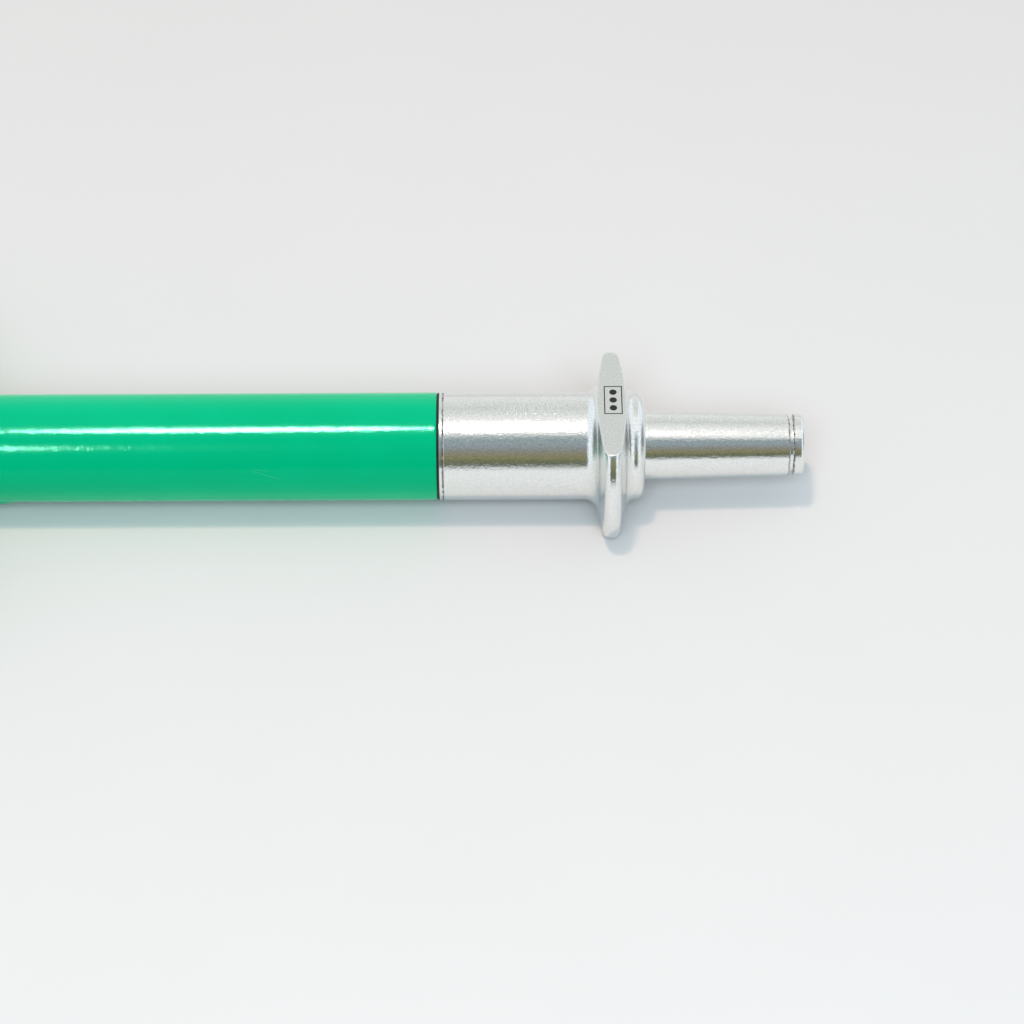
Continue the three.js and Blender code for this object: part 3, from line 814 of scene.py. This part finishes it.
def tube_cap():
    rear, front = ends("end_cap")
    return turned([
        (rear, BOLT_HOLE),
        (rear, radius_of("cap_washer") + 2, 0.5),
        (rear + 0.8, radius_of("cap_washer") + 2.8, 0.5),
        (rear + 0.8, FLAT_HALF, 2.5),
        (TUBE_REAR - 3.2, FLAT_HALF, 0.5),
        (TUBE_REAR - 2.6, FLAT_HALF - 1, 0.4),
        (TUBE_REAR - 0.1, FLAT_HALF - 1, 0.5),
        (TUBE_REAR - 0.1, TUBE_BORE - 0.15),
        (front, TUBE_BORE - 0.15, 0.5),
        (front, BOLT_HOLE),
    ])


piece("green_tube", green_tube(), "hammer", ENAMEL, "hammer_tube")
bush = keyed_ring(*ends("guide_bush"), ROD_RADIUS + 0.15, ROD_FLAT + 0.15, TUBE_BORE - 0.05, 0.6)
piece("keyed_bush", bush, "hammer", BRONZE, "guide_bush")
piece("tube_cap", tube_cap(), "hammer", PLATED, "end_cap")
cap_washer = flat_ring("cap_washer", BOLT_HOLE, radius_of("cap_washer"), 0.25)
piece("flat_washer", cap_washer, "hammer", PLATED, "cap_washer")

# %% [markdown]
# ## Hexagon bolt
#
# A bolt head is a hexagon whose outer corners are cut away by a cone. The cone could be a boolean,
# but pressing works here too: a point further out than the cone allows at its height is drawn
# back. For that the head needs many points, so its six sides are divided first.

# %% Bolt
BOLT_ACROSS_FLATS = 13
BOLT_HEAD = 5.3
BOLT_SHANK = 3.95


def hex_bolt():
    rear, front = ends("cap_bolt")
    seat = rear + BOLT_HEAD
    corner = BOLT_ACROSS_FLATS / 2 / math.cos(math.pi / 6)
    bm = bmesh.new()
    bmesh.ops.create_circle(bm, cap_ends=True, segments=6, radius=corner)
    rotate(bm, math.pi / 2, "Y")
    move(bm, (rear, 0, 0))
    bmesh.ops.subdivide_edges(bm, edges=bm.edges[:], cuts=9)
    thicken(bm, (seat - rear, 0, 0))
    outer = min(bm.faces, key=lambda face: face.calc_center_median().x)
    bmesh.ops.inset_region(bm, faces=[outer], thickness=0.9)
    for v in bm.verts:
        reach = math.hypot(v.co.y, v.co.z)
        over = reach - (BOLT_ACROSS_FLATS / 2 - 0.3)
        if v.co.x < rear + 0.01 and over > 0:
            v.co.x += over * math.tan(math.radians(30))
    shank = turned([
        (seat - 1, 0),
        (seat - 1, BOLT_SHANK),
        (front, BOLT_SHANK, 0.6),
        (front, 0),
    ], segments=48)
    shank_mesh = mesh_of("bolt_shank", shank)
    bm.from_mesh(shank_mesh)
    bpy.data.meshes.remove(shank_mesh)
    bmesh.ops.recalc_face_normals(bm, faces=bm.faces)
    return bm


piece("hex_bolt", hex_bolt(), "hammer", PLATED, "cap_bolt", 25)

# %% [markdown]
# ## Cross pins
#
# Two pins through the tube hold the slug in its far end. They are painted over with the tube, and
# only their domed ends show. Each is turned along X and then stood upright.


# %% Pins
def cross_pin(node):
    """A painted pin through the tube, whose domed ends stand a little proud of it."""
    low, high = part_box(node)
    half = TUBE_RADIUS + 0.35
    radius = (high.x - low.x) / 2 / MM
    bm = turned([(-half, 0), (-half, radius, 1.4), (half, radius, 1.4), (half, 0)], segments=48)
    return upright(bm, station_of((low.x + high.x) / 2))


for node in ("slug_pin_lower", "slug_pin_upper"):
    name = node.replace("slug", "cross")
    piece(name, cross_pin(node), "hammer", ENAMEL, node)

# %% [markdown]
# ## Handles
#
# Each handle is one round bar, bent twice. It is made as the bender makes it: a circle of edges
# is pushed out from the tube, spun a quarter turn about the bend's centre, pushed along, spun
# again and pushed back to the tube. The rear handle is the front one turned half round.

# %% Bent bars
BAR_RADIUS = (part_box("handle_bar_front")[1].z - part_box("handle_bar_front")[0].z) / 2 / MM
BAR_STANDOFF = -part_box("handle_bar_front")[0].y / MM - BAR_RADIUS
BAR_REAR, BAR_FRONT = ends("handle_bar_front")
BAR_FOOT = 14.5
BEND = 25


def bent_bar():
    bm = bmesh.new()
    first = Vector((BAR_FRONT - BAR_RADIUS, -BAR_FOOT, 0))
    turn = Matrix.Translation(first) @ Matrix.Rotation(math.pi / 2, 4, "X")
    loop = bmesh.ops.create_circle(bm, segments=40, radius=BAR_RADIUS, matrix=turn)["verts"]
    edges = list({e for v in loop for e in v.link_edges})

    def push(edges, vec):
        made = bmesh.ops.extrude_edge_only(bm, edges=edges)["geom"]
        bmesh.ops.translate(bm, verts=verts_in(made), vec=vec)
        return [e for e in made if isinstance(e, bmesh.types.BMEdge)]

    def turn_corner(edges, centre):
        verts = list({v for e in edges for v in e.verts})
        made = bmesh.ops.spin(
            bm,
            geom=verts + edges,
            cent=centre,
            axis=(0, 0, 1),
            angle=-math.pi / 2,
            steps=20,
        )["geom_last"]
        return [e for e in made if isinstance(e, bmesh.types.BMEdge)]

    leg = BAR_STANDOFF - BEND - BAR_FOOT
    run = (BAR_FRONT - BAR_RADIUS) - (BAR_REAR + BAR_RADIUS) - 2 * BEND
    edges = push(edges, (0, -leg, 0))
    edges = turn_corner(edges, (first.x - BEND, -BAR_STANDOFF + BEND, 0))
    edges = push(edges, (-run, 0, 0))
    edges = turn_corner(edges, (first.x - BEND - run, -BAR_STANDOFF + BEND, 0))
    push(edges, (0, leg, 0))
    bmesh.ops.holes_fill(bm, edges=[e for e in bm.edges if e.is_boundary])
    bmesh.ops.recalc_face_normals(bm, faces=bm.faces)
    return bm


piece("bent_bar_front", bent_bar(), "hammer", ENAMEL, "handle_bar_front")
piece("bent_bar_rear", half_turn(bent_bar()), "hammer", ENAMEL, "handle_bar_rear")

# %% [markdown]
# ## Welds
#
# A weld bead follows the line where two pieces meet, and its surface is a row of overlapping
# ripples. The line where a bar meets the tube is a saddle, so the bead is a curve through points
# of that saddle. A curve's bevel gives it thickness, and each point's own radius makes the
# ripples. It is made a mesh before it is placed. The run at the lower leg of each handle ends in a
# thin tail along the underside, where the torch was drawn off.

# %% Weld beads
BEAD = 2.3
RIPPLES = 22


def bead_along(points, closed=True):
    """A bead through points (place, share of the full bead radius), as a mesh."""
    curve = bpy.data.curves.new("bead", "CURVE")
    curve.dimensions = "3D"
    curve.bevel_depth = BEAD
    curve.bevel_resolution = 4
    curve.use_fill_caps = not closed
    spline = curve.splines.new("POLY")
    spline.points.add(len(points) - 1)
    spline.use_cyclic_u = closed
    for point, (place, share) in zip(spline.points, points):
        point.co = (*place, 1)
        point.radius = share
    obj = add_object("bead", curve)
    depsgraph = bpy.context.evaluated_depsgraph_get()
    mesh = bpy.data.meshes.new_from_object(obj.evaluated_get(depsgraph))
    bm = bmesh.new()
    bm.from_mesh(mesh)
    bpy.data.objects.remove(obj)
    bpy.data.curves.remove(curve)
    bpy.data.meshes.remove(mesh)
    bmesh.ops.remove_doubles(bm, verts=bm.verts, dist=1e-4)
    bmesh.ops.recalc_face_normals(bm, faces=bm.faces)
    return bm


def weld_bead(station, radius, upward):
    """A rippled bead where a bar or boss of a radius leaves the tube, to the front or upward."""
    points = []
    steps = RIPPLES * 6
    for i in range(steps):
        angle = 2 * math.pi * i / steps
        across = (radius + 0.5) * math.sin(angle)
        out = math.sqrt((TUBE_RADIUS + 0.1) ** 2 - across**2)
        along = station + (radius + 0.5) * math.cos(angle)
        ripple = abs(math.sin(math.pi * i / 6))
        share = 0.9 + 0.13 * ripple + 0.05 * math.sin(3 * angle + station)
        points.append(((along, across, out) if upward else (along, -out, across), share))
    return bead_along(points)


RUN_OUT = 18
RUN_OUT_ANGLE = math.radians(42)


def weld_run_out(side):
    """The thin tail of a weld, which dies away along the tube's underside on one side."""
    across = side * math.cos(RUN_OUT_ANGLE)
    points = []
    for i in range(RUN_OUT * 4 + 1):
        away = i / 4
        out = TUBE_RADIUS - 0.55
        place = (BAR_FRONT - 1 + away, across * out, -math.sin(RUN_OUT_ANGLE) * out)
        points.append((place, (0.55 + 0.1 * (RUN_OUT - away)) / BEAD))
    return bead_along(points, closed=False)


for end, station in (("lower", BAR_FRONT - BAR_RADIUS), ("upper", BAR_REAR + BAR_RADIUS)):
    bead = weld_bead(station, BAR_RADIUS, upward=False)
    piece(f"weld_front_{end}", bead, "hammer", ENAMEL)
    bead = half_turn(weld_bead(station, BAR_RADIUS, upward=False))
    piece(f"weld_rear_{end}", bead, "hammer", ENAMEL)
for name, side in (("front", -1), ("rear", 1)):
    piece(f"weld_run_out_{name}", weld_run_out(side), "hammer", ENAMEL)

# %% [markdown]
# ## Rubber grips
#
# A grip is a moulded sleeve with a collar at each end and raised bands for the fingers. The bands
# have fine flutes along the bar. The profile is spun, and the flutes come from moving the points
# of the bands in and out as they go round.

# %% Grips
GRIP_REAR, GRIP_FRONT = ends("grip_front")
GRIP_RADIUS = 11
GRIP_COLLAR = 13
GRIP_BANDS = 5
FLUTES = 36
FLUTE_DEPTH = 0.35


def ribbed_grip():
    half = (GRIP_FRONT - GRIP_REAR) / 2
    inner = half - 6
    band = 2 * inner / (2 * GRIP_BANDS + 1)
    bore = BAR_RADIUS + 0.1
    corners = [(-half, bore, 0.8), (-half, GRIP_COLLAR, 2.2), (-inner, GRIP_COLLAR, 1.2)]
    for i in range(GRIP_BANDS):
        start = -inner + band * (2 * i + 1)
        corners += [(start - band, GRIP_RADIUS, 0.8), (start, GRIP_RADIUS, 0.5)]
        corners += [(start + 0.4, GRIP_RADIUS + 1, 0.4), (start + band - 0.4, GRIP_RADIUS + 1, 0.4)]
    corners += [(inner - band, GRIP_RADIUS, 0.5), (inner, GRIP_RADIUS, 0.8)]
    corners += [(inner, GRIP_COLLAR, 1.2), (half, GRIP_COLLAR, 2.2), (half, bore, 0.8)]
    bm = turned(corners, segments=FLUTES * 6, arc_steps=4)
    for v in bm.verts:
        radius = math.hypot(v.co.y, v.co.z)
        raised = GRIP_RADIUS + 0.6 < radius < GRIP_RADIUS + 1.01
        if raised and abs(v.co.x) < inner - band / 2:
            angle = math.atan2(v.co.z, v.co.y)
            pressed = FLUTE_DEPTH * max(0, math.cos(FLUTES * angle))
            v.co.yz = v.co.yz * (1 - pressed / radius)
    move(bm, ((GRIP_FRONT + GRIP_REAR) / 2, -BAR_STANDOFF, 0))
    return bm


piece("ribbed_grip_front", ribbed_grip(), "hammer", RUBBER, "grip_front")
piece("ribbed_grip_rear", half_turn(ribbed_grip()), "hammer", RUBBER, "grip_rear")

# %% [markdown]
# ## The carrying lock
#
# A boss on the tube holds a threaded stud with a knob, and the stud presses a brass pad on the
# flat of the rod so that the hammer can't slide while the tool is carried. The boss is turned,
# and its foot is drawn down to the round of the tube. The stud's thread is a row of V grooves,
# which looks the same as a helix at this size and stays a closed solid.

# %% Boss, stud and pad
BOSS_RADIUS = radius_of("lock_boss")
BOSS_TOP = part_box("lock_boss")[1].z / MM - FLAT_HALF
STUD_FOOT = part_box("lock_stud")[0].z / MM - FLAT_HALF
STUD_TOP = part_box("lock_stud")[1].z / MM - FLAT_HALF
STUD_RADIUS = radius_of("lock_stud")
KNOB_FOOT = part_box("lock_knob")[0].z / MM - FLAT_HALF
KNOB_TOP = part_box("lock_knob")[1].z / MM - FLAT_HALF
PITCH = 1.75
THREAD_DEPTH = 0.9
BOSS_FOOT = 12
BOSS_BORE = 6.2


def welded_boss():
    bm = upright(turned([
        (BOSS_FOOT, BOSS_BORE),
        (BOSS_FOOT, BOSS_RADIUS),
        (BOSS_TOP, BOSS_RADIUS, 1.2),
        (BOSS_TOP, BOSS_BORE, 0.8),
    ], segments=96), LOCK_STATION)
    for v in bm.verts:
        if v.co.z < BOSS_FOOT + 0.1:
            v.co.z = math.sqrt((TUBE_RADIUS - 0.6) ** 2 - v.co.y**2)
    return bm


def threaded_stud():
    corners = [(STUD_FOOT, 0), (STUD_FOOT, STUD_RADIUS - 1, 0.3)]
    root = STUD_RADIUS - THREAD_DEPTH
    for i in range(int((KNOB_FOOT - STUD_FOOT) / PITCH)):
        start = STUD_FOOT + 0.6 + i * PITCH
        corners += [(start, root), (start + 0.7, STUD_RADIUS), (start + 0.95, STUD_RADIUS)]
    neck = 4
    corners += [(KNOB_FOOT - 0.05, root), (KNOB_FOOT - 0.05, neck)]
    corners += [(STUD_TOP, neck, 0.5), (STUD_TOP, 0)]
    return upright(turned(corners, segments=64), LOCK_STATION)


piece("welded_boss", welded_boss(), "hammer", ENAMEL, "lock_boss")
boss_weld = weld_bead(LOCK_STATION, BOSS_RADIUS, upward=True)
piece("weld_boss", boss_weld, "hammer", ENAMEL)
piece("threaded_stud", threaded_stud(), "lock_screw", OXIDE, "lock_stud")

# %% [markdown]
# ## The knob
#
# The knob is moulded with five lobes. A circle with many points is drawn in between the lobes,
# filled and raised, and the top is inset twice to leave a rounded rim and a shallow dish. The
# rim's edges get a wide bevel, as a moulding tool would have.

# %% Knob
KNOB_LOBES = 5
LOBE_DEPTH = 2.4
KNOB_BEVEL = 2.2
KNOB_RADIUS = (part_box("lock_knob")[1].x * 1000 - DATUM.x * 1000) - LOCK_STATION


def lobed_knob():
    bm = bmesh.new()
    edge = bmesh.ops.create_circle(bm, cap_ends=True, segments=160, radius=1)["verts"]
    for v in edge:
        angle = math.atan2(v.co.y, v.co.x)
        radius = KNOB_RADIUS - LOBE_DEPTH * (1 - math.cos(KNOB_LOBES * angle)) / 2
        v.co = Vector((radius * math.cos(angle), radius * math.sin(angle), KNOB_FOOT))
    thicken(bm, (0, 0, KNOB_TOP - KNOB_FOOT))
    bmesh.ops.recalc_face_normals(bm, faces=bm.faces)
    rims = [e for e in bm.edges if abs(e.verts[0].co.z - e.verts[1].co.z) < 0.01]
    bmesh.ops.bevel(
        bm,
        geom=rims,
        affect="EDGES",
        offset=KNOB_BEVEL,
        segments=6,
        profile=0.5,
        material=-1,
    )
    upper = [face for face in bm.faces if face.calc_center_median().z > KNOB_FOOT + 1]
    cap = max(upper, key=lambda face: face.calc_area())
    bmesh.ops.inset_region(bm, faces=[cap], thickness=2.0)
    bmesh.ops.inset_region(bm, faces=[cap], thickness=0.8, depth=-0.8)
    move(bm, (LOCK_STATION, 0, 0))
    return bm


piece("lobed_knob", lobed_knob(), "lock_screw", PLASTIC, "lock_knob")

# %% [markdown]
# ## Pieces that stay as they are
#
# The pieces inside the tube have the right shape already. They keep their CAD meshes and only get
# the finish of the real ones.

# %% Finishes of the inner pieces
INNER = {
    "rod_set_screw": OXIDE,
    "stop_collar_pin": OXIDE,
    "collar_wear_ring": BRONZE,
    "bush_retaining_ring": OXIDE,
    "stroke_bumper": URETHANE,
    "ballast_slug": DRAWN,
    "lock_pad": BRASS,
}
for node, finish in INNER.items():
    frame["nodes"][node].data.materials.clear()
    frame["nodes"][node].data.materials.append(finish)

# %% [markdown]
# ## Floor
#
# The tool lies on a pale, matt sheet whose tone drifts slowly. Dust specks are centres of large
# solid cells, so one shows only where a centre happens to lie in the sheet, which is rare.

# %% Floor
FLOOR_HALF = 12
floor_bm = bmesh.new()
bmesh.ops.create_grid(floor_bm, x_segments=1, y_segments=1, size=FLOOR_HALF)
floor = add_object("floor", mesh_of("floor", floor_bm))
paper = Finish("pale_floor", Roughness=0.55, Specular_IOR_Level=0.2)
paper_tone = paper.mix(paper.noise(60, detail=4), (0.428, 0.428, 0.428), (0.438, 0.438, 0.438))
speck = paper.cells(38, shift=(0.37, 0.11, 0)).between(0.011, 0.006)
speck = speck * paper.noise(70, detail=1, shift=(0.2, 0.5, 0)).between(0.50, 0.56)
paper_tone = paper.mix(speck * 0.6, paper_tone, (0.13, 0.13, 0.14))
floor.data.materials.append(paper.set(Base_Color=paper_tone))

# %% [markdown]
# ## Room
#
# A mirror-like tool shows what it reflects. The room is a world colour that follows the direction
# round the tool's axis: darker in front, a wide bright ceiling above and a light wall behind. Pale
# walls take over towards the sides, and dark ones at the two ends.

# %% Room
# Degrees round the axis from the front, over the top and on to the rear, and the colour there.
ROOM = [
    (0, (0.16, 0.18, 0.14)),
    (10, (0.11, 0.13, 0.09)),
    (17, (0.24, 0.24, 0.12)),
    (25, (0.27, 0.25, 0.14)),
    (38, (0.27, 0.28, 0.28)),
    (50, (0.33, 0.40, 0.44)),
    (64, (0.28, 0.36, 0.37)),
    (75, (0.98, 0.99, 0.99)),
    (104, (1.02, 1.02, 1.02)),
    (114, (0.84, 0.86, 0.84)),
    (126, (0.80, 0.82, 0.81)),
    (133, (0.66, 0.69, 0.67)),
    (141, (0.76, 0.78, 0.77)),
    (180, (0.90, 0.92, 0.92)),
]
# Each wall fades in between two values of how far a direction points along the axis.
SIDE_WALL, SIDE_WALL_FROM = (0.92, 1.00, 1.06), (0.30, 0.52)
END_WALL, END_WALL_FROM = (0.24, 0.26, 0.27), (0.86, 0.96)

world = bpy.data.worlds.new("room")
world.use_nodes = True
bpy.context.scene.world = world
room = NodeMaker(world.node_tree)
way = room.node("ShaderNodeTexCoord", output="Generated")
way_x, way_y, way_z = (
    room.node("ShaderNodeSeparateXYZ", None, {"Vector": way}, name) for name in "XYZ"
)
turn_share = way_z.math("ARCTAN2", way_z, -way_y) / math.pi
ramp = room.tree.nodes.new("ShaderNodeValToRGB")
room.feed(ramp.inputs["Fac"], turn_share)
stops = ramp.color_ramp.elements
while len(stops) < len(ROOM):
    stops.new(0.5)
for stop, (degrees, colour) in zip(stops, ROOM):
    stop.position = degrees / 180
    stop.color = (*colour, 1)
aside = abs(way_x)
colour = Field(room, ramp.outputs["Color"])
colour = room.mix(aside.between(*SIDE_WALL_FROM), colour, SIDE_WALL)
colour = room.mix(aside.between(*END_WALL_FROM), colour, END_WALL)
room.feed(room.tree.nodes["Background"].inputs["Color"], colour)

# %% [markdown]
# ## Lamps
#
# One round lamp nearly overhead lights everything. The floor gets two more of its own: a warm
# small one overhead for the shadow's crisp edge, and a wide bluish one beside the camera that
# fills the shadow, because the dark front wall would leave it too deep. The enamel's highlight has
# to be far stronger than the round lamp makes it, so two glares shine on the painted pieces only,
# and only in their gloss. Light linking does both: a lamp's receiver collection lists what it
# lights.


# %% Lamps
LAMP_DISTANCE = 2.0


def add_lamp(name, leftward, height, width, depth, radiance, colour):
    """An area lamp at angles in degrees: how far left, and how high from the front."""
    left, high = math.radians(leftward), math.radians(height)
    toward = Vector((-math.tan(left), -math.cos(high), math.sin(high))).normalized()
    data = bpy.data.lights.new(name, "AREA")
    data.shape = "ELLIPSE"
    data.size = width
    data.size_y = depth
    data.energy = radiance * math.pi * (math.pi * width * depth / 4)
    data.color = colour
    lamp = add_object(name, data)
    lamp.location = DATUM + toward * LAMP_DISTANCE
    lamp.rotation_euler = toward.to_track_quat("Z", "Y").to_euler()
    print(f"{name}: {data.energy:.2f} W")
    return lamp


painted = bpy.data.collections.new("painted")
for obj in bpy.context.scene.objects:
    if obj.type == "MESH" and ENAMEL.name in obj.data.materials:
        painted.objects.link(obj)

ground = bpy.data.collections.new("ground")
ground.objects.link(floor)

add_lamp("overhead_light", 8, 87, 0.40, 0.45, 16, (1, 0.87, 0.78))
for name, leftward, height, width, depth, radiance, colour in (
    ("floor_light", 8, 89, 0.16, 0.16, 225, (1, 0.69, 0.47)),
    ("floor_fill", 0, 48, 1.5, 1.0, 12.5, (0.78, 0.91, 1)),
):
    shade = add_lamp(name, leftward, height, width, depth, radiance, colour)
    shade.light_linking.receiver_collection = ground
for name, leftward, height, width, depth, radiance in (
    ("overhead_glare", 7.7, 83.4, 0.27, 0.42, 260),
    ("side_glare", 18, 45.5, 0.34, 0.40, 160),
):
    glare = add_lamp(name, leftward, height, width, depth, radiance, (1, 1, 1))
    glare.visible_diffuse = False
    glare.light_linking.receiver_collection = painted

# %% [markdown]
# ## Camera
#
# The camera stands in front of the tool and looks down at it with a long lens. It aims at a place
# beside the flange and is rolled a quarter of a degree.

# %% Camera
CAMERA_HEIGHT = math.radians(47.8)
CAMERA_DISTANCE = 1.095
CAMERA_ROLL = math.radians(-0.27)
AIM_ALONG = -0.031
AIM_BELOW = 0.0207
back = Vector((0, -math.cos(CAMERA_HEIGHT), math.sin(CAMERA_HEIGHT)))
image_up = Vector((0, math.sin(CAMERA_HEIGHT), math.cos(CAMERA_HEIGHT)))
target = DATUM + Vector((AIM_ALONG, 0, 0)) - AIM_BELOW * image_up
camera_data = bpy.data.cameras.new("camera")
camera_data.lens = 123
camera_data.sensor_width = 36
camera = add_object("camera", camera_data)
camera.rotation_mode = "QUATERNION"
roll = Matrix.Rotation(CAMERA_ROLL, 4, back).to_quaternion()
camera.rotation_quaternion = roll @ back.to_track_quat("Z", "Y")
camera.location = target + back * CAMERA_DISTANCE
bpy.context.scene.camera = camera
bpy.context.scene.view_settings.view_transform = "Standard"
